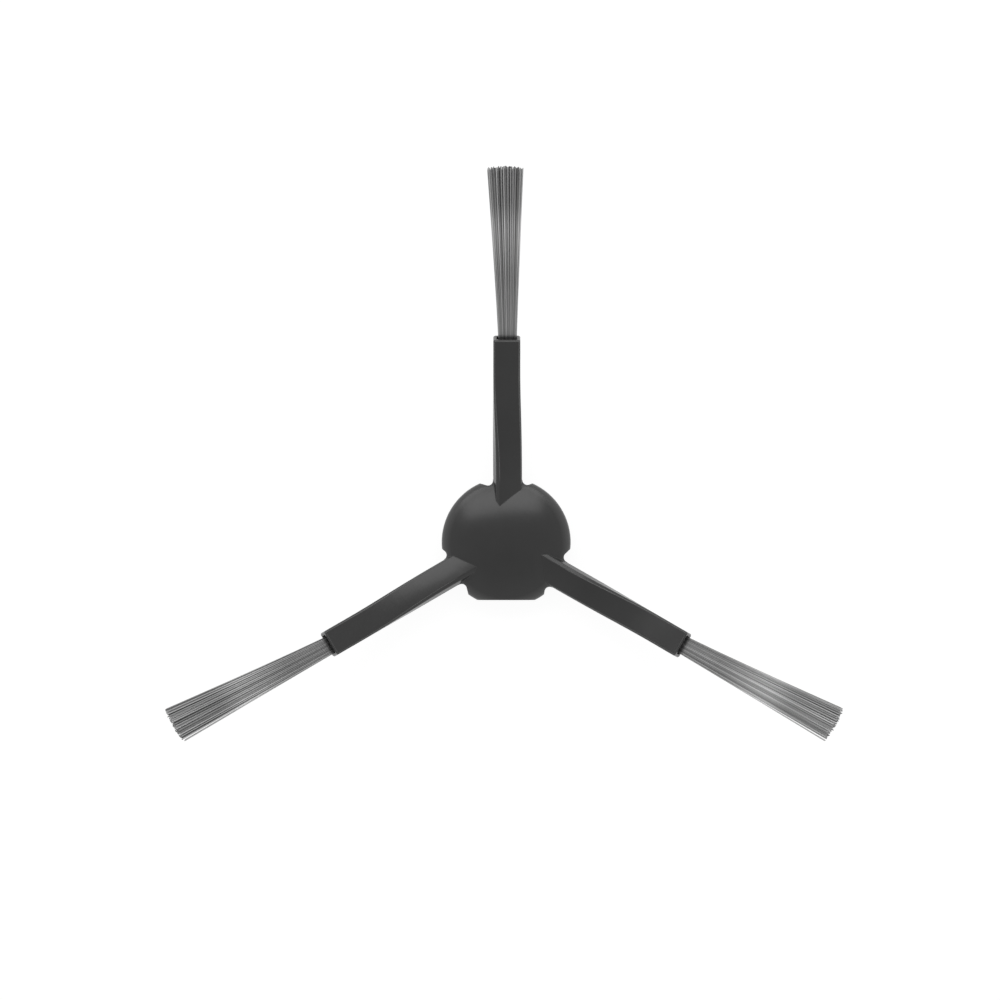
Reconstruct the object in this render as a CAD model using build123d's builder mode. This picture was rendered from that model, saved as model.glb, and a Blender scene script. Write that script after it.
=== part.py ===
from build123d import *
import os
from math import atan, cos, radians, sin, sqrt, tan

# Side brush of a robot vacuum, lying on its back: the face that meets the robot is down.
# The origin is on the spin axis in the plane of the hub's base. Millimetres, degrees.

# Hub
hub_radius = 14.2
skirt_height = 5.0
dome_rise = 3.8
dome_wall = 1.7
skirt_wall = 3.0
rim_round = 1.5
base_chamfer = 0.4
flat_depth = 1.5

# Relief notches in the hub's rim, on both sides of each arm's root
notch_half_width = 5.8
notch_depth = 2.1
notch_fillet = 1.1
notch_clearance = 0.05

# Drive socket and its ribs, on the hidden side
socket_size = 7.0
socket_depth = 7.2
socket_corner = 0.5
socket_lead_in = 0.4
boss_wall = 1.7
boss_recess = 0.6
rib_count = 6
rib_thickness = 1.2
rib_recess = 1.6
snap_length = 3.0
snap_height = 2.2
snap_width = 1.4
snap_reach = 0.35

# Arms
arm_count = 3
first_arm_angle = 90.0
arm_reach = 44.7
arm_width = 5.9
root_thickness = 3.2
sleeve_thickness = 3.7
sleeve_length = 6.5
root_embed = 8.0
neck_setback = 1.0
arm_lift = 0.52
root_offset = -0.33
sleeve_offset = -0.12
root_twist = 17.8
root_crown = 0.12
sleeve_crown = 0.01
root_ridge_chamfer = 0.65
sleeve_ridge_chamfer = 0.3
sleeve_slope = 20.0
arm_edge_chamfer = 0.35
sleeve_end_chamfer = 0.25
arm_sections = 8

# Pocket for the bristles in the end of each sleeve
pocket_width = 4.5
pocket_height = 2.0
pocket_depth = 6.0

# Bristle tufts: the lean is how far each tuft's tip strays sideways, counter-clockwise positive
fused_length = 2.5
fused_grip = 0.3
filament_width = 0.25
filament_gap = 0.04
filament_columns = 13
filament_rows = 5
free_length = 38.0
tip_stagger = 0.8
tip_width = 8.0
tip_thickness = 2.8
root_drop = 0.1
tip_droop = 3.0
tip_leans = [0.4, -1.7, 1.5]
tip_extras = [0.0, 1.0, 0.2]
fan_power = 1.2
droop_power = 2.0
bend_stations = 3
golden_ratio = 0.618

dome_radius = (hub_radius**2 + dome_rise**2) / (2 * dome_rise)
dome_centre = skirt_height + dome_rise - dome_radius
hub_height = skirt_height + dome_rise
cavity_radius = hub_radius - skirt_wall
cavity_dome_radius = dome_radius - dome_wall
arm_angles = [first_arm_angle + 360 / arm_count * index for index in range(arm_count)]


def dome_height(sphere_radius, radius):
    """Height of the dome, or of its inner face, at a distance from the spin axis."""
    return dome_centre + sqrt(sphere_radius**2 - radius**2)


# The arm's centre line and section, along +X before the arm is turned to its place

neck_start = hub_radius - neck_setback
neck_length = arm_reach - sleeve_length - neck_start


def neck_share(distance):
    """How far along the neck a distance from the axis is, from 0 at the hub to 1 at the sleeve."""
    return min(max((distance - neck_start) / neck_length, 0), 1)


def ease(share):
    """Smooth step from 0 to 1, level at both ends."""
    return share**2 * (3 - 2 * share)


def ease_area(share):
    """Area under the smooth step up to a share."""
    return share**3 - share**4 / 2


def arm_plane(distance):
    """Plane of the arm's section: X across towards the leading side, Y up, Z along the arm."""
    share = neck_share(distance)
    rise = tan(radians(sleeve_slope))
    past_neck = max(distance - neck_start - neck_length, 0)
    height = skirt_height + arm_lift + rise * (neck_length * ease_area(share) + past_neck)
    slope = atan(rise * ease(share))
    twist = radians(root_twist * (1 - ease(share)))
    along = Vector(cos(slope), 0, sin(slope))
    up = Vector(-sin(slope), 0, cos(slope))
    across = Vector(0, 1, 0) * cos(twist) + up * sin(twist)
    offset = root_offset + (sleeve_offset - root_offset) * ease(share)
    return Plane(origin=(distance, offset, height), x_dir=across, z_dir=along)


def turned(plane, angle):
    """The plane turned about the spin axis."""
    origin, x_dir, z_dir = [
        vector.rotate(Axis.Z, angle) for vector in (plane.origin, plane.x_dir, plane.z_dir)
    ]
    return Plane(origin=origin, x_dir=x_dir, z_dir=z_dir)


def arm_outline(distance):
    """Section of the arm, whose thickness grows and whose crowned face flattens to the sleeve."""
    grown = ease(neck_share(distance))
    top = (root_thickness + (sleeve_thickness - root_thickness) * grown) / 2
    shoulder = top - root_crown - (sleeve_crown - root_crown) * grown
    side = arm_width / 2
    inner = side - arm_edge_chamfer
    ridge = root_ridge_chamfer + (sleeve_ridge_chamfer - root_ridge_chamfer) * grown
    with BuildLine() as outline:
        Polyline(
            (side - ridge, shoulder),
            (side, shoulder - ridge),
            (side, arm_edge_chamfer - top),
            (inner, -top),
            (-inner, -top),
            (-side, arm_edge_chamfer - top),
            (-side, shoulder - arm_edge_chamfer),
            (-inner, shoulder),
        )
        ThreePointArc((-inner, shoulder), (-ridge / 2, top), (side - ridge, shoulder))
    return outline.line


sleeve_end = arm_plane(arm_reach)
arm_inner_end = hub_radius - root_embed

with BuildPart() as arm:
    for index in range(arm_sections):
        distance = arm_inner_end + (arm_reach - arm_inner_end) * index / (arm_sections - 1)
        with BuildSketch(arm_plane(distance)):
            with BuildLine():
                add(arm_outline(distance))
            make_face()
    loft()
    chamfer(arm.faces().sort_by(Axis.X)[-1].edges(), sleeve_end_chamfer)
    with BuildSketch(sleeve_end):
        Rectangle(pocket_width, pocket_height)
    extrude(amount=-pocket_depth, mode=Mode.SUBTRACT)


# Hollow under the dome: what is left standing in it is the socket's boss and the ribs

boss_size = socket_size + 2 * boss_wall

with BuildPart() as cavity:
    with BuildSketch(Plane.XZ):
        with BuildLine():
            cavity_edge = dome_height(cavity_dome_radius, cavity_radius)
            cavity_top = dome_centre + cavity_dome_radius
            Polyline((0, cavity_top), (0, 0), (cavity_radius, 0), (cavity_radius, cavity_edge))
            RadiusArc((cavity_radius, cavity_edge), (0, cavity_top), -cavity_dome_radius)
        make_face()
    revolve(axis=Axis.Z)
    with BuildSketch(Plane.XY.offset(boss_recess)):
        Rectangle(boss_size, boss_size)
    extrude(amount=hub_height, mode=Mode.SUBTRACT)
    with BuildSketch(Plane.XY.offset(rib_recess)):
        with PolarLocations(cavity_radius / 2, rib_count, start_angle=first_arm_angle):
            Rectangle(cavity_radius, rib_thickness)
    extrude(amount=hub_height, mode=Mode.SUBTRACT)


# Body: hub and arms in one moulding

half_span = (
    arm_width / 2 * cos(radians(root_twist))
    + (root_thickness / 2 - arm_edge_chamfer) * sin(radians(root_twist))
    + notch_clearance
)
notch_corner = sqrt(hub_radius**2 - notch_half_width**2)

with BuildPart() as brush_body:
    with BuildSketch(Plane.XZ) as hub_profile:
        with BuildLine():
            Polyline((0, hub_height), (0, 0), (hub_radius, 0), (hub_radius, skirt_height))
            RadiusArc((hub_radius, skirt_height), (0, hub_height), -dome_radius)
        make_face()
        chamfer(hub_profile.vertices().group_by(Axis.X)[-1].sort_by(Axis.Y)[0], base_chamfer)
        fillet(hub_profile.vertices().group_by(Axis.X)[-1].sort_by(Axis.Y)[-1], rim_round)
    revolve(axis=Axis.Z)
    with PolarLocations(0, arm_count, start_angle=first_arm_angle):
        add(arm.part)

    # The notches run beside the arm's root, down through the rim
    for angle in arm_angles:
        for side in (1, -1):
            arm_side = root_offset + side * half_span
            with BuildSketch(Plane.XY.rotated((0, 0, angle))) as notch:
                with BuildLine():
                    Polyline(
                        (hub_radius - notch_depth, arm_side),
                        (notch_corner, side * notch_half_width),
                        (hub_radius + notch_depth, side * notch_half_width),
                        (hub_radius + notch_depth, arm_side),
                        close=True,
                    )
                make_face()
                fillet(notch.vertices().sort_by_distance((0, 0, 0))[0], notch_fillet)
            extrude(amount=hub_height, mode=Mode.SUBTRACT)

    # The flat on the rim, between two arms
    with Locations((0, -hub_radius, 0)):
        Box(2 * hub_radius, 2 * flat_depth, 2 * hub_height, mode=Mode.SUBTRACT)

    # The hollow, then the square socket with its lead-in and snap ridges
    add(cavity.part, mode=Mode.SUBTRACT)
    with BuildSketch():
        RectangleRounded(socket_size, socket_size, socket_corner)
    extrude(amount=socket_depth, mode=Mode.SUBTRACT)
    with BuildSketch(Plane.XY.offset(boss_recess)):
        mouth_size = socket_size + 2 * socket_lead_in
        RectangleRounded(mouth_size, mouth_size, socket_corner + socket_lead_in)
    extrude(amount=socket_lead_in, taper=45, mode=Mode.SUBTRACT)
    for side in (1, -1):
        with BuildSketch(Plane.XZ):
            with BuildLine():
                wall = side * socket_size / 2
                wall_middle = side * (socket_size + boss_wall) / 2
                low = snap_height - snap_width / 2
                high = snap_height + snap_width / 2
                Polyline((wall, low), (wall_middle, low), (wall_middle, high), (wall, high))
                SagittaArc((wall, high), (wall, low), -side * snap_reach)
            make_face()
        extrude(amount=snap_length / 2, both=True)
brush_body.part.label = "brush_body"


# Bristle tufts: filaments that fan out of a block fused at the bottom of the sleeve's pocket.
# A tuft is what its plan, a comb of columns, and its side view, a comb of rows, have in common.

filament_pitch = filament_width + filament_gap
block_face = fused_length - pocket_depth


def fan_out(root, tip_root, drift, drift_power, share):
    """Place of a filament's middle at a share of its free length, from its root's place."""
    return root + (tip_root - root) * share**fan_power + drift * share**drift_power


def comb_teeth(count, tip_span, shift, drift, drift_power, extra):
    """Outlines of a comb's teeth, each a list of points, as sideways and along the tuft."""
    teeth = []
    for number in range(count):
        offset = number - (count - 1) / 2
        root = shift + offset * filament_pitch
        tip_root = shift + offset * (tip_span - filament_width) / (count - 1)
        length = free_length + extra - tip_stagger * (number * golden_ratio % 1)
        middles = [(root, block_face - fused_grip)]
        bends = [free_length * station / bend_stations for station in range(1, bend_stations)]
        for along in [*bends, length]:
            middles.append((fan_out(root, tip_root, drift, drift_power, along / free_length), along))
        left = [(sideways - filament_width / 2, along) for sideways, along in middles]
        right = [(sideways + filament_width / 2, along) for sideways, along in middles]
        teeth.append(right + left[::-1])
    return teeth


bristle_tufts = []
for index, angle in enumerate(arm_angles):
    lean = tip_leans[index % len(tip_leans)]
    extra = tip_extras[index % len(tip_extras)]
    end_plane = turned(sleeve_end, angle)
    plan_plane = Plane(end_plane.origin, x_dir=end_plane.x_dir, z_dir=-end_plane.y_dir)
    side_plane = Plane(end_plane.origin, x_dir=end_plane.y_dir, z_dir=end_plane.x_dir)
    with BuildPart() as bristle_tuft:
        with BuildSketch(plan_plane):
            with Locations((0, block_face - fused_length / 2)):
                Rectangle(pocket_width, fused_length)
            for tooth in comb_teeth(filament_columns, tip_width, 0, lean, fan_power, extra):
                Polygon(*tooth, align=None)
        extrude(amount=free_length, both=True)
        with BuildSketch(side_plane):
            with Locations((0, block_face - fused_length / 2)):
                Rectangle(pocket_height, fused_length)
            side_teeth = comb_teeth(
                filament_rows, tip_thickness, -root_drop, -tip_droop, droop_power, extra
            )
            for tooth in side_teeth:
                Polygon(*tooth, align=None)
        extrude(amount=free_length, both=True, mode=Mode.INTERSECT)
    bristle_tuft.part.label = f"bristle_tuft_{index + 1}"
    bristle_tufts.append(bristle_tuft.part)

os.makedirs("parts", exist_ok=True)
for piece in [brush_body.part, *bristle_tufts]:
    export_step(piece, f"parts/{piece.label}.step")
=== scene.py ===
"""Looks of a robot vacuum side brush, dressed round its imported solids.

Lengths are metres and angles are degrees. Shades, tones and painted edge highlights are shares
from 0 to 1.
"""
import logging
import math
import random
from dataclasses import dataclass
from enum import Enum

import bmesh
import bpy
from mathutils import Matrix, Vector


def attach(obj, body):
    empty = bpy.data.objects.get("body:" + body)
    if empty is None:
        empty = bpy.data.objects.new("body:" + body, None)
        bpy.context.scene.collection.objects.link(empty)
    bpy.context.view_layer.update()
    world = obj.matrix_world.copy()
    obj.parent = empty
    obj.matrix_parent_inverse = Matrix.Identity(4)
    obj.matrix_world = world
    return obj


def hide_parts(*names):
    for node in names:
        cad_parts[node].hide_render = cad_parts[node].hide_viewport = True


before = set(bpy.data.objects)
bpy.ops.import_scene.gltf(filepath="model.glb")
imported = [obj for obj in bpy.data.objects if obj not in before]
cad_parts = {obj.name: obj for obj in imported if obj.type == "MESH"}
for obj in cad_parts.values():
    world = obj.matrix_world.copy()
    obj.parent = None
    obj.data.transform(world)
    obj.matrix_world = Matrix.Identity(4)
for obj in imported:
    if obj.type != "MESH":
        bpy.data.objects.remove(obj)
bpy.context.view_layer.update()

log = logging.getLogger("side_brush")

MM = 0.001
TONE_LAYER = "strand_tone"
RUN_LAYER = "strand_run"

Colour = tuple[float, float, float]
Span = tuple[float, float]

WHOLE: Span = (0.0, 1.0)
NOISE_SPAN: Span = (0.3, 0.7)


class Arm(Enum):
    """The arms, each with the direction in which it points from the spin axis."""

    TOP = 90.0
    LEFT = 210.0
    RIGHT = 330.0


class Side(Enum):
    """The side of a tuft that has loose strands, as its direction across the tuft."""

    TRAILING = -1.0
    NEITHER = 0.0
    LEADING = 1.0


class NodeBoard:
    """A node tree that is being filled, with short ways to add nodes and join them."""

    def __init__(self, tree: bpy.types.NodeTree) -> None:
        """Takes a tree and empties it.

        Args:
            tree: The node tree of a material or of the world.
        """
        self.tree = tree
        tree.nodes.clear()

    def add(self, kind: str, **settings: object) -> bpy.types.Node:
        """Adds a node.

        Args:
            kind: Blender's name for the type of node.
            settings: Properties of the node, by name.

        Returns:
            The new node.
        """
        node = self.tree.nodes.new(kind)
        for name, value in settings.items():
            setattr(node, name, value)
        return node

    def join(self, source: bpy.types.NodeSocket, target: bpy.types.NodeSocket) -> None:
        """Links an output to an input."""
        self.tree.links.new(source, target)

    def show(self, shader: bpy.types.NodeSocket) -> None:
        """Makes a shader the surface of the material."""
        self.join(shader, self.add("ShaderNodeOutputMaterial").inputs["Surface"])

    def noise(
        self, place: bpy.types.NodeSocket, scale: float, detail: float
    ) -> bpy.types.NodeSocket:
        """Adds a noise texture.

        Args:
            place: The coordinates that it reads.
            scale: Waves in a metre.
            detail: Octaves of finer noise.

        Returns:
            The noise, most of which lies in NOISE_SPAN.
        """
        node = self.add("ShaderNodeTexNoise")
        node.inputs["Scale"].default_value = scale
        node.inputs["Detail"].default_value = detail
        self.join(place, node.inputs["Vector"])
        return node.outputs["Fac"]

    def spread(
        self, source: bpy.types.NodeSocket, span: Span, result: Span
    ) -> bpy.types.NodeSocket:
        """Maps one range of values to another.

        Args:
            source: The value to map.
            span: The range that it comes in.
            result: The range that it is mapped to.

        Returns:
            The mapped value.
        """
        node = self.add("ShaderNodeMapRange")
        node.inputs["From Min"].default_value = span[0]
        node.inputs["From Max"].default_value = span[1]
        node.inputs["To Min"].default_value = result[0]
        node.inputs["To Max"].default_value = result[1]
        self.join(source, node.inputs["Value"])
        return node.outputs["Result"]

    def math(
        self, operation: str, first: bpy.types.NodeSocket, second: bpy.types.NodeSocket
    ) -> bpy.types.NodeSocket:
        """Works out one value from two.

        Args:
            operation: Blender's name for what is done.
            first: The first value.
            second: The second value.

        Returns:
            The result.
        """
        node = self.add("ShaderNodeMath", operation=operation)
        self.join(first, node.inputs[0])
        self.join(second, node.inputs[1])
        return node.outputs["Value"]

    def blend(
        self, share: bpy.types.NodeSocket, first: Colour, second: Colour
    ) -> bpy.types.NodeSocket:
        """Mixes two colours.

        Args:
            share: How much of the second colour there is, from 0 to 1.
            first: The first colour, linear.
            second: The second colour, linear.

        Returns:
            The mixed colour.
        """
        node = self.add("ShaderNodeMix", data_type="RGBA")
        node.inputs["A"].default_value = (*first, 1.0)
        node.inputs["B"].default_value = (*second, 1.0)
        self.join(share, node.inputs["Factor"])
        return node.outputs["Result"]


def new_finish(name: str) -> tuple[bpy.types.Material, NodeBoard]:
    """Makes an empty material.

    Args:
        name: The material's name.

    Returns:
        The material, and its node tree to fill.
    """
    made = bpy.data.materials.new(name)
    made.use_nodes = True
    return made, NodeBoard(made.node_tree)


def grey(level: float) -> Colour:
    """A neutral colour of that linear level."""
    return (level, level, level)


def clamped(value: float) -> float:
    """The value, held between 0 and 1."""
    return min(1.0, max(0.0, value))


@dataclass(frozen=True)
class MouldedRubber:
    """Dark semi-matte moulding: faint clouds, a fine moulded grain, and pale painted highlights on
    the edges and the hub's rim.
    """

    deep: float = 0.0265
    pale: float = 0.0305
    painted_highlight: float = 0.2
    glossiest: float = 0.23
    dullest: float = 0.26
    cloud_scale: float = 120.0
    cloud_detail: float = 3.0
    patch_scale: float = 900.0
    patch_detail: float = 2.0
    grain_scale: float = 5200.0
    grain_detail: float = 2.0
    grain_height: float = 0.003 * MM
    grain_strength: float = 0.08
    edge_radius: float = 0.35 * MM
    edge_samples: int = 8
    sleeve_radius: float = 0.2 * MM
    sleeve_start: Span = (32.0 * MM, 42.0 * MM)
    rim_radius: float = 1.3 * MM
    rim_outside: Span = (14.4 * MM, 15.4 * MM)
    rim_below: Span = (3.2 * MM, 4.4 * MM)
    rim_above: Span = (5.5 * MM, 6.05 * MM)
    rim_highlight: float = 0.15
    arm_start: Span = (13.0 * MM, 15.0 * MM)
    edge_turn: Span = (0.01, 0.08)
    edge_highlight: float = 0.8

    def material(self) -> bpy.types.Material:
        """Makes the finish.

        Returns:
            The new material.
        """
        made, board = new_finish("moulded_rubber")
        place = board.add("ShaderNodeTexCoord").outputs["Object"]
        shader = board.add("ShaderNodeBsdfPrincipled")
        board.show(shader.outputs["BSDF"])

        clouds = board.noise(place, self.cloud_scale, self.cloud_detail)
        tint = board.blend(
            board.spread(clouds, NOISE_SPAN, WHOLE), grey(self.deep), grey(self.pale)
        )
        parts = board.add("ShaderNodeSeparateXYZ")
        board.join(place, parts.inputs["Vector"])
        reach = self.reach(board, parts)
        rim = self.rim_share(board, reach, parts.outputs["Z"])
        normal = self.soft_normal(board, reach, rim)
        # pale colour mixed in along the arms' edges and the hub's rim: a painted highlight
        highlight_mix = board.add("ShaderNodeMix", data_type="RGBA")
        highlight_mix.inputs["B"].default_value = (*grey(self.painted_highlight), 1.0)
        board.join(self.highlight_share(board, reach, rim, normal), highlight_mix.inputs["Factor"])
        board.join(tint, highlight_mix.inputs["A"])
        board.join(highlight_mix.outputs["Result"], shader.inputs["Base Color"])

        patches = board.noise(place, self.patch_scale, self.patch_detail)
        roughness = board.spread(patches, NOISE_SPAN, (self.glossiest, self.dullest))
        board.join(roughness, shader.inputs["Roughness"])
        board.join(self.grained(board, place, normal), shader.inputs["Normal"])
        return made

    def reach(self, board: NodeBoard, parts: bpy.types.Node) -> bpy.types.NodeSocket:
        """Works out how far a point is from the spin axis.

        Args:
            board: The node tree to add the nodes to.
            parts: The node that gives the point's X, Y and Z.

        Returns:
            The distance.
        """
        flat = board.add("ShaderNodeCombineXYZ")
        board.join(parts.outputs["X"], flat.inputs["X"])
        board.join(parts.outputs["Y"], flat.inputs["Y"])
        away = board.add("ShaderNodeVectorMath", operation="LENGTH")
        board.join(flat.outputs["Vector"], away.inputs[0])
        return away.outputs["Value"]

    def rim_share(
        self, board: NodeBoard, reach: bpy.types.NodeSocket, height: bpy.types.NodeSocket
    ) -> bpy.types.NodeSocket:
        """Picks out the round edge between the hub's dome and its skirt.

        Args:
            board: The node tree to add the nodes to.
            reach: How far a point is from the spin axis.
            height: How high it is.

        Returns:
            1 on that edge, falling to 0 on both sides of it.
        """
        band = board.math(
            "MULTIPLY",
            board.spread(height, self.rim_below, (0.0, 1.0)),
            board.spread(height, self.rim_above, (1.0, 0.0)),
        )
        inside = board.spread(reach, self.rim_outside, (1.0, 0.0))
        return board.math("MULTIPLY", band, inside)

    def soft_normal(
        self, board: NodeBoard, reach: bpy.types.NodeSocket, rim: bpy.types.NodeSocket
    ) -> bpy.types.NodeSocket:
        """Softens the edges: most at the hub's rim, and least on the sleeves.

        Args:
            board: The node tree to add the nodes to.
            reach: How far a point is from the spin axis.
            rim: How much a point belongs to the hub's rim.

        Returns:
            The surface's direction, with the edges rounded.
        """
        radius = board.math(
            "MAXIMUM",
            board.spread(reach, self.sleeve_start, (self.edge_radius, self.sleeve_radius)),
            board.spread(rim, WHOLE, (0.0, self.rim_radius)),
        )
        rounded = board.add("ShaderNodeBevel", samples=self.edge_samples)
        board.join(radius, rounded.inputs["Radius"])
        return rounded.outputs["Normal"]

    def highlight_share(
        self,
        board: NodeBoard,
        reach: bpy.types.NodeSocket,
        rim: bpy.types.NodeSocket,
        normal: bpy.types.NodeSocket,
    ) -> bpy.types.NodeSocket:
        """Picks out where pale highlights are painted: the edges of the arms, and a little of the
        hub's rim.

        Args:
            board: The node tree to add the nodes to.
            reach: How far a point is from the spin axis.
            rim: How much a point belongs to the hub's rim.
            normal: The surface's direction, with the edges rounded.

        Returns:
            How much painted highlight a point gets.
        """
        likeness = board.add("ShaderNodeVectorMath", operation="DOT_PRODUCT")
        board.join(normal, likeness.inputs[0])
        board.join(board.add("ShaderNodeNewGeometry").outputs["Normal"], likeness.inputs[1])
        turned = (1.0 - self.edge_turn[0], 1.0 - self.edge_turn[1])
        ridges = board.math(
            "MULTIPLY",
            board.spread(likeness.outputs["Value"], turned, (0.0, self.edge_highlight)),
            board.spread(reach, self.arm_start, WHOLE),
        )
        # a little painted highlight on the hub's rim as well
        return board.math("MAXIMUM", ridges, board.spread(rim, WHOLE, (0.0, self.rim_highlight)))

    def grained(
        self, board: NodeBoard, place: bpy.types.NodeSocket, normal: bpy.types.NodeSocket
    ) -> bpy.types.NodeSocket:
        """Lays the moulded grain over the softened edges.

        Args:
            board: The node tree to add the nodes to.
            place: The coordinates of a point.
            normal: The surface's direction, with the edges rounded.

        Returns:
            The surface's direction, with the grain.
        """
        bump = board.add("ShaderNodeBump")
        bump.inputs["Strength"].default_value = self.grain_strength
        bump.inputs["Distance"].default_value = self.grain_height
        grain = board.noise(place, self.grain_scale, self.grain_detail)
        board.join(grain, bump.inputs["Height"])
        board.join(normal, bump.inputs["Normal"])
        return bump.outputs["Normal"]


@dataclass(frozen=True)
class NylonFilament:
    """Grey bristles: each strand has its own tone, with a painted shadow in the sleeve and a
    painted highlight along the middle of its length.
    """

    darkest: float = 0.11
    palest: float = 0.9
    sleeve_shadow: float = 0.1
    root_shade: float = 0.52
    bend_shade: float = 0.54
    highlight_shade: float = 1.0
    far_shade: float = 0.72
    tip_shade: float = 0.76
    root_start: float = 0.025
    bend_start: float = 0.22
    highlight_peak: float = 0.58
    bend_end: float = 0.75
    roughest: float = 0.48
    smoothest: float = 0.34
    fleck_scale: float = 700.0
    fleck_detail: float = 2.0

    def material(self) -> bpy.types.Material:
        """Makes the finish.

        Returns:
            The new material.
        """
        made, board = new_finish("nylon_filament")
        place = board.add("ShaderNodeTexCoord").outputs["Object"]
        shader = board.add("ShaderNodeBsdfPrincipled")
        board.show(shader.outputs["BSDF"])

        tone = board.add("ShaderNodeAttribute", attribute_name=TONE_LAYER).outputs["Fac"]
        strand = board.blend(tone, grey(self.darkest), grey(self.palest))
        # each strand's tone is multiplied by the painted shadow and highlight along it
        shaded = board.add("ShaderNodeMix", data_type="RGBA", blend_type="MULTIPLY")
        shaded.inputs["Factor"].default_value = 1.0
        board.join(strand, shaded.inputs["A"])
        board.join(self.painted_light_along(board), shaded.inputs["B"])
        board.join(shaded.outputs["Result"], shader.inputs["Base Color"])

        flecks = board.noise(place, self.fleck_scale, self.fleck_detail)
        roughness = board.spread(flecks, NOISE_SPAN, (self.smoothest, self.roughest))
        board.join(roughness, shader.inputs["Roughness"])
        return made

    def painted_light_along(self, board: NodeBoard) -> bpy.types.NodeSocket:
        """Paints light and shade along a strand: a painted shadow in the sleeve, and a painted
        highlight where it bends.

        Args:
            board: The node tree to add the nodes to.

        Returns:
            The painted shadow and highlight, as a colour.
        """
        ramp = board.add("ShaderNodeValToRGB")
        ramp.color_ramp.interpolation = "EASE"
        stops = ramp.color_ramp.elements
        stops[0].position, stops[1].position = WHOLE
        stops[0].color = (*grey(self.sleeve_shadow), 1.0)
        stops[1].color = (*grey(self.tip_shade), 1.0)
        between = (
            (self.root_start, self.root_shade),
            (self.bend_start, self.bend_shade),
            (self.highlight_peak, self.highlight_shade),
            (self.bend_end, self.far_shade),
        )
        for position, shade in between:
            stops.new(position).color = (*grey(shade), 1.0)
        run = board.add("ShaderNodeAttribute", attribute_name=RUN_LAYER).outputs["Fac"]
        board.join(run, ramp.inputs["Fac"])
        return ramp.outputs["Color"]


@dataclass(frozen=True)
class PaleFloor:
    """White table: plain white to the camera and in reflections, and it keeps a soft shadow."""

    colour: float = 0.8
    glow: float = 0.92
    catch: float = 0.14

    def material(self) -> bpy.types.Material:
        """Makes the finish.

        Returns:
            The new material.
        """
        made, board = new_finish("pale_floor")
        plain = board.add("ShaderNodeBsdfDiffuse")
        plain.inputs["Color"].default_value = (*grey(self.colour), 1.0)
        faint = board.add("ShaderNodeBsdfDiffuse")
        faint.inputs["Color"].default_value = (*grey(self.catch), 1.0)
        light = board.add("ShaderNodeEmission")
        light.inputs["Color"].default_value = (*grey(1.0), 1.0)
        light.inputs["Strength"].default_value = self.glow
        seen = board.add("ShaderNodeAddShader")
        board.join(faint.outputs["BSDF"], seen.inputs[0])
        board.join(light.outputs["Emission"], seen.inputs[1])
        switch = board.add("ShaderNodeMixShader")
        board.join(self.seen_rays(board), switch.inputs["Fac"])
        board.join(plain.outputs["BSDF"], switch.inputs[1])
        board.join(seen.outputs["Shader"], switch.inputs[2])
        board.show(switch.outputs["Shader"])
        return made

    def seen_rays(self, board: NodeBoard) -> bpy.types.NodeSocket:
        """Picks out the rays that show a background: those of the camera, of gloss and of glass.

        Args:
            board: The node tree to add the nodes to.

        Returns:
            1 for such a ray, and 0 for the rest.
        """
        path = board.add("ShaderNodeLightPath")
        seen = path.outputs["Is Camera Ray"]
        for name in ("Is Glossy Ray", "Is Transmission Ray"):
            seen = board.math("MAXIMUM", seen, path.outputs[name])
        return seen


@dataclass
class BrushBody:
    """The moulded hub and arms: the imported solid, in its finish."""

    node: str = "brush_body"

    def dress(self, finish: bpy.types.Material) -> None:
        """Gives the solid its finish.

        Args:
            finish: The material of the moulding.
        """
        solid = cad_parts[self.node]
        solid.material_slots[0].material = finish
        log.info("%s: the packed solid, in %s", self.node, finish.name)


@dataclass(frozen=True)
class Lock:
    """A lock of strands: where it starts across its tuft, and how much paler it is."""

    start: float
    tone: float


@dataclass(frozen=True)
class Strand:
    """One strand in the frame of its sleeve's mouth: its two ends, how it fans, and its tone."""

    root: Vector
    tip: Vector
    power: float
    length: float
    tone: float


@dataclass(frozen=True)
class StrandLayers:
    """The layers of a tuft's mesh: a point's tone, and how far along its strand it is."""

    tone: bmesh.types.BMLayerItem
    run: bmesh.types.BMLayerItem


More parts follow.
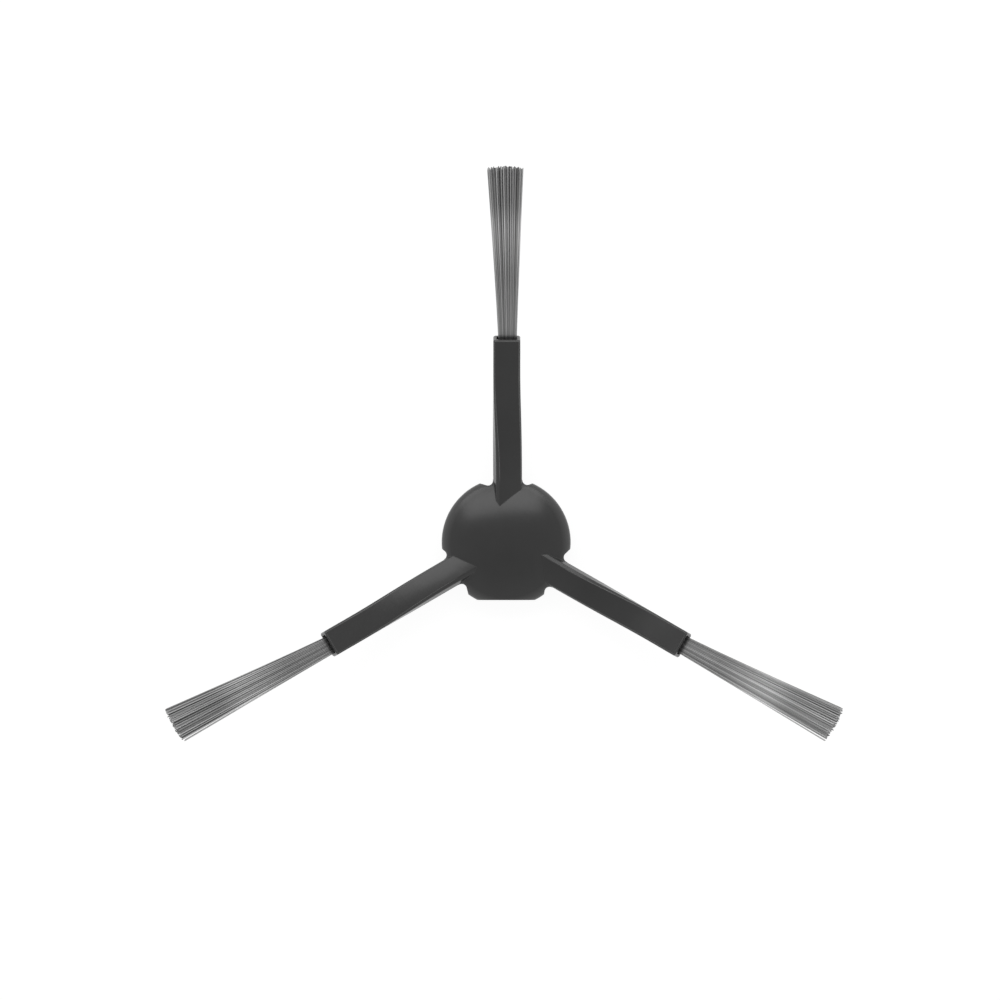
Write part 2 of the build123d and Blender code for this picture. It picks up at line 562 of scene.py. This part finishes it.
@dataclass
class BristleTuft:
    """One tuft: strands that fan out of a fused block at the bottom of the sleeve's pocket."""

    node: str
    arm: Arm
    lean: float
    seed: int
    offset: float
    tone: float
    tip_painted_shade: float = 0.0
    highlight_power: float = 1.0
    root_share: float = 0.1
    reach: float = 44.7 * MM
    mouth_height: float = 12.42 * MM
    slope: float = 20.0
    strand_radius: float = 0.128 * MM
    strand_sides: int = 6
    stations: tuple[float, ...] = (-0.03, 0.004, 0.025, 0.2, 0.4, 0.6, 0.8, 1.0)
    columns: int = 15
    rows: int = 7
    row_stagger: float = 0.5
    root_width: float = 4.0 * MM
    root_thickness: float = 1.08 * MM
    root_drop: float = 0.42 * MM
    tip_width: float = 7.6 * MM
    tip_thickness: float = 2.1 * MM
    length: float = 37.9 * MM
    trim_arc: float = 0.35 * MM
    trim_stagger: float = 0.4 * MM
    trim_power: float = 1.5
    droop: float = 3.0 * MM
    droop_power: float = 2.0
    fan_power: float = 1.15
    power_spread: float = 0.02
    loose_side: Side = Side.NEITHER
    loose_edge: float = 1.0
    loose_gap: float = 0.26 * MM
    stray_share: float = 0.03
    stray_reach: float = 0.3 * MM
    tip_scatter: float = 0.05 * MM
    tip_lift: float = 0.6
    lock_count: int = 9
    lock_widths: Span = (0.6, 1.5)
    lock_tones: Span = (0.3, 1.0)
    lock_spread: float = 0.2
    strand_spread: float = 0.1
    parting_painted_shadow: float = -0.42
    parting_width: float = 0.035
    tight_edge: float = 0.9
    tight_tone: float = -0.25
    block_width: float = 4.44 * MM
    block_thickness: float = 1.94 * MM
    block_length: float = 2.4 * MM
    block_face: float = -3.5 * MM
    block_edge: float = 0.2 * MM
    block_edge_steps: int = 3
    block_tone: float = 0.25
    root_grip: float = 0.3 * MM

    def frame_of_mouth(self) -> Matrix:
        """The sleeve's end as a frame.

        Returns:
            A matrix whose axes are across, up and along the tuft, from the middle of the mouth.
        """
        turn = math.radians(self.arm.value)
        tilt = math.radians(self.slope)
        outward = Vector((math.cos(turn), math.sin(turn), 0.0))
        across = Vector((-math.sin(turn), math.cos(turn), 0.0))
        upright = Vector((0.0, 0.0, 1.0))
        along = outward * math.cos(tilt) + upright * math.sin(tilt)
        up = upright * math.cos(tilt) - outward * math.sin(tilt)
        mouth = Matrix((across, up, along)).transposed().to_4x4()
        mouth.translation = (
            outward * self.reach + across * self.offset + upright * self.mouth_height
        )
        return mouth

    def build(self) -> bpy.types.Object:
        """Builds the tuft's mesh in its place.

        Returns:
            The new piece.
        """
        draw = random.Random(self.seed)
        shape = bmesh.new()
        tone = shape.verts.layers.float.new(TONE_LAYER)
        run = shape.verts.layers.float.new(RUN_LAYER)
        layers = StrandLayers(tone, run)
        self.add_block(shape, layers)
        locks = self.part_locks(draw)
        for row in range(self.rows):
            for column in range(self.columns):
                self.add_strand(shape, self.draw_strand(draw, locks, row, column), layers)
        shape.transform(self.frame_of_mouth())
        bmesh.ops.recalc_face_normals(shape, faces=shape.faces[:])
        name = f"tuft_{self.arm.name.lower()}"
        mesh = bpy.data.meshes.new(name)
        shape.to_mesh(mesh)
        shape.free()
        piece = bpy.data.objects.new(name, mesh)
        bpy.context.scene.collection.objects.link(piece)
        return piece

    def add_block(self, shape: bmesh.types.BMesh, layers: StrandLayers) -> None:
        """Adds the block of fused strand ends.

        Args:
            shape: The tuft's mesh, still empty, in the frame of the mouth.
            layers: The layers of the mesh.
        """
        block = bmesh.ops.create_cube(shape, size=1.0)["verts"]
        size = Vector((self.block_width, self.block_thickness, self.block_length))
        bmesh.ops.scale(shape, verts=block, vec=size)
        middle = Vector((0.0, 0.0, self.block_face - self.block_length / 2))
        bmesh.ops.translate(shape, verts=block, vec=middle)
        bmesh.ops.bevel(
            shape,
            geom=shape.edges[:],
            offset=self.block_edge,
            segments=self.block_edge_steps,
            profile=0.5,
            affect="EDGES",
            material=-1,
        )
        for corner in shape.verts:
            corner[layers.tone] = self.block_tone

    def part_locks(self, draw: random.Random) -> list[Lock]:
        """Parts the tuft into locks of unlike widths, which are in turn paler and darker.

        Args:
            draw: The tuft's own source of random numbers.

        Returns:
            The locks, from the trailing side.
        """
        widths = [draw.uniform(*self.lock_widths) for _ in range(self.lock_count)]
        locks = []
        for index in range(self.lock_count):
            start = sum(widths[:index]) / sum(widths)
            tone = (-1) ** index * draw.uniform(*self.lock_tones) * self.lock_spread
            locks.append(Lock(start, tone))
        return locks

    def lock_tone(self, locks: list[Lock], across: float) -> float:
        """How much paler the strands at one place across the tuft are.

        Args:
            locks: The tuft's locks, from the trailing side.
            across: The place, from 0 at the trailing side to 1.

        Returns:
            The lock's tone, with the painted shadow of the parting if there is one.
        """
        lock = [item for item in locks if item.start <= max(across, 0.0)][-1]
        # a parting between locks is painted darker: painted shadow in the gap
        parted = lock.start > 0.0 and across - lock.start < self.parting_width
        return lock.tone + (self.parting_painted_shadow if parted else 0.0)

    def draw_strand(self, draw: random.Random, locks: list[Lock], row: int, column: int) -> Strand:
        """Draws where one strand lies, how it is trimmed and what tone it has.

        Args:
            draw: The tuft's own source of random numbers.
            locks: The tuft's locks.
            row: The strand's row, from the bottom.
            column: The strand's column, from the trailing side.

        Returns:
            The strand.
        """
        stagger = self.row_stagger * (row % 2 - 0.5)
        sideways = (column + stagger) / (self.columns - 1) * 2 - 1
        upwards = row / (self.rows - 1) * 2 - 1
        room = 2 * self.strand_radius
        root_corner = (self.root_width - room, self.root_thickness - room)
        tip_corner = (self.tip_width - room, self.tip_thickness - room)
        root = Vector((sideways * root_corner[0], upwards * root_corner[1], 0)) / 2
        tip = Vector((sideways * tip_corner[0], upwards * tip_corner[1], 0)) / 2
        tip.x += draw.gauss(0, 1) * self.tip_scatter
        tip.y += max(-1.0, min(1.0, draw.gauss(0, self.tip_lift))) * self.tip_scatter
        if draw.random() < self.stray_share:
            tip.x += draw.uniform(-1, 1) * self.stray_reach
        looseness = sideways * self.loose_side.value
        if looseness > self.loose_edge:
            tip.x += self.loose_side.value * self.loose_gap
        root.y -= self.root_drop
        tip.y -= self.root_drop
        power = self.fan_power + draw.uniform(-self.power_spread, self.power_spread)
        length = self.length - self.trim_arc * sideways**2
        length -= self.trim_stagger * draw.random() ** self.trim_power
        tone = draw.gauss(self.tone, self.strand_spread)
        tone += self.lock_tone(locks, (sideways + 1) / 2)
        if looseness < -self.tight_edge:
            tone += self.tight_tone
        return Strand(root, tip, power, length, tone)

    def place_along(self, strand: Strand, share: float) -> Vector:
        """Finds the middle of a strand at a share of its length.

        Args:
            strand: The strand.
            share: The share, from 0 at the mouth to 1, and less than 0 in the pocket.

        Returns:
            The place, in the frame of the mouth.
        """
        spread = max(share, 0.0)
        place = strand.root + (strand.tip - strand.root) * spread**strand.power
        place.x += self.lean * spread**self.fan_power
        place.y -= self.droop * spread**self.droop_power
        place.z = strand.length * share
        return place

    def add_strand(self, shape: bmesh.types.BMesh, strand: Strand, layers: StrandLayers) -> None:
        """Adds one strand: a ring at its root, extruded along the strand's bend and capped.

        Args:
            shape: The tuft's mesh so far, in the frame of the mouth.
            strand: The strand.
            layers: The layers of the mesh.
        """
        before = strand.root + Vector((0, 0, self.block_face - self.root_grip))
        ring = bmesh.ops.create_circle(
            shape,
            cap_ends=True,
            segments=self.strand_sides,
            radius=self.strand_radius,
            matrix=Matrix.Translation(before),
        )["verts"]
        for corner in ring:
            corner[layers.tone] = clamped(strand.tone)
        caps = [ring[0].link_faces[0]]
        edges = list(caps[0].edges)
        for share in self.stations:
            spread = max(share, 0.0)
            place = self.place_along(strand, share)
            grown = bmesh.ops.extrude_edge_only(shape, edges=edges)["geom"]
            corners = [item for item in grown if isinstance(item, bmesh.types.BMVert)]
            edges = [item for item in grown if isinstance(item, bmesh.types.BMEdge)]
            bmesh.ops.translate(shape, verts=corners, vec=place - before)
            before = place
            for corner in corners:
                # the tone shifts towards the tip: painted shade that follows how the light falls
                # on each tuft
                corner[layers.tone] = clamped(strand.tone + self.tip_painted_shade * share)
                # the run places the painted sleeve shadow and highlight along the strand; its
                # power moves the highlight further out
                corner[layers.run] = max(spread**self.highlight_power, min(spread, self.root_share))
            for edge in edges:
                for face in edge.link_faces:
                    face.smooth = True
        caps += bmesh.ops.contextual_create(shape, geom=edges)["faces"]
        for cap in caps:
            cap.smooth = False
            for edge in cap.edges:
                edge.smooth = False

    def dress(self, piece: bpy.types.Object, finish: bpy.types.Material) -> None:
        """Gives the tuft its finish, hangs it on the root body and hides the solid that it stands
        for.

        Args:
            piece: The tuft.
            finish: The material of the strands.
        """
        piece.data.materials.append(finish)
        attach(piece, "root")
        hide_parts(self.node)
        faces = len(piece.data.polygons)
        log.info("%s: %d strands, %d faces", piece.name, self.rows * self.columns, faces)


@dataclass
class Studio:
    """White table, a wide soft box behind the object, pale surroundings and a camera overhead."""

    floor_size: float = 6.0
    floor_drop: float = 0.2 * MM
    horizon: float = 1.0
    zenith: float = 0.46
    zenith_rise: Span = (0.0, 0.9)
    box_distance: float = 0.7
    box_off_zenith: float = 40.5
    box_direction: float = 96.0
    box_width: float = 0.95
    box_height: float = 0.33
    box_power: float = 1.9
    frame_width: float = 220.0 * MM
    frame_plane: float = 4.0 * MM
    aim_x: float = -1.36 * MM
    aim_y: float = 9.29 * MM
    camera_height: float = 1.2
    sensor: float = 36.0

    def build_floor(self, finish: bpy.types.Material) -> None:
        """Lays the floor.

        Args:
            finish: The material of the floor.
        """
        shape = bmesh.new()
        bmesh.ops.create_grid(shape, x_segments=1, y_segments=1, size=self.floor_size / 2)
        bmesh.ops.translate(shape, verts=shape.verts[:], vec=(0, 0, -self.floor_drop))
        mesh = bpy.data.meshes.new("floor")
        shape.to_mesh(mesh)
        shape.free()
        mesh.materials.append(finish)
        floor = bpy.data.objects.new("floor", mesh)
        bpy.context.scene.collection.objects.link(floor)

    def hang_box(self) -> None:
        """Hangs the soft box behind and above the object, facing it."""
        lamp = bpy.data.lights.new("soft_box", "AREA")
        lamp.shape = "RECTANGLE"
        lamp.size = self.box_width
        lamp.size_y = self.box_height
        lamp.energy = self.box_power
        lean = math.radians(self.box_off_zenith)
        turn = math.radians(self.box_direction)
        sideways = Vector((math.cos(turn), math.sin(turn), 0.0)) * math.sin(lean)
        away = sideways + Vector((0.0, 0.0, math.cos(lean)))
        box = bpy.data.objects.new("soft_box", lamp)
        box.location = away * self.box_distance
        box.rotation_euler = away.to_track_quat("Z", "Y").to_euler()
        bpy.context.scene.collection.objects.link(box)

    def set_surroundings(self) -> None:
        """Sets the surroundings, which darken from the horizon to the zenith."""
        world = bpy.data.worlds.new("studio")
        world.use_nodes = True
        bpy.context.scene.world = world
        board = NodeBoard(world.node_tree)
        way = board.add("ShaderNodeSeparateXYZ")
        board.join(board.add("ShaderNodeTexCoord").outputs["Generated"], way.inputs["Vector"])
        rise = board.spread(way.outputs["Z"], self.zenith_rise, WHOLE)
        around = board.add("ShaderNodeBackground")
        board.join(
            board.blend(rise, grey(self.horizon), grey(self.zenith)), around.inputs["Color"]
        )
        surface = board.add("ShaderNodeOutputWorld").inputs["Surface"]
        board.join(around.outputs["Background"], surface)
        bpy.context.scene.view_settings.view_transform = "Standard"

    def aim_camera(self) -> None:
        """Hangs the camera straight above the object, with a long lens."""
        lens = bpy.data.cameras.new("camera")
        lens.sensor_width = self.sensor
        lens.lens = self.sensor * (self.camera_height - self.frame_plane) / self.frame_width
        camera = bpy.data.objects.new("camera", lens)
        camera.location = (self.aim_x, self.aim_y, self.camera_height)
        bpy.context.scene.collection.objects.link(camera)
        bpy.context.scene.camera = camera


def main() -> None:
    """Builds the pieces in order."""
    logging.basicConfig(level=logging.INFO, format="%(message)s")
    BrushBody().dress(MouldedRubber().material())
    strands = NylonFilament().material()
    # each tuft's tone is the strands' own grey with painted light in it: the tufts' differing
    # brightness under the soft box, and the top tuft's darker tip, are painted into their colour
    tufts = [
        BristleTuft(
            "bristle_tuft_1",
            Arm.TOP,
            lean=0.5 * MM,
            seed=11,
            offset=-0.28 * MM,
            tone=0.63,
            tip_painted_shade=-0.26,
            highlight_power=1.36,
            lock_spread=0.12,
            parting_painted_shadow=-0.3,
        ),
        BristleTuft(
            "bristle_tuft_2",
            Arm.LEFT,
            lean=-1.9 * MM,
            seed=23,
            offset=0.1 * MM,
            tone=0.525,
            length=38.8 * MM,
            loose_side=Side.LEADING,
            lock_spread=0.16,
            parting_painted_shadow=-0.36,
        ),
        BristleTuft(
            "bristle_tuft_3",
            Arm.RIGHT,
            lean=1.55 * MM,
            seed=37,
            offset=-0.05 * MM,
            tone=0.64,
            tip_painted_shade=0.06,
            loose_side=Side.TRAILING,
        ),
    ]
    for tuft in tufts:
        tuft.dress(tuft.build(), strands)
    studio = Studio()
    studio.build_floor(PaleFloor().material())
    studio.hang_box()
    studio.set_surroundings()
    studio.aim_camera()


if __name__ == "__main__":
    main()
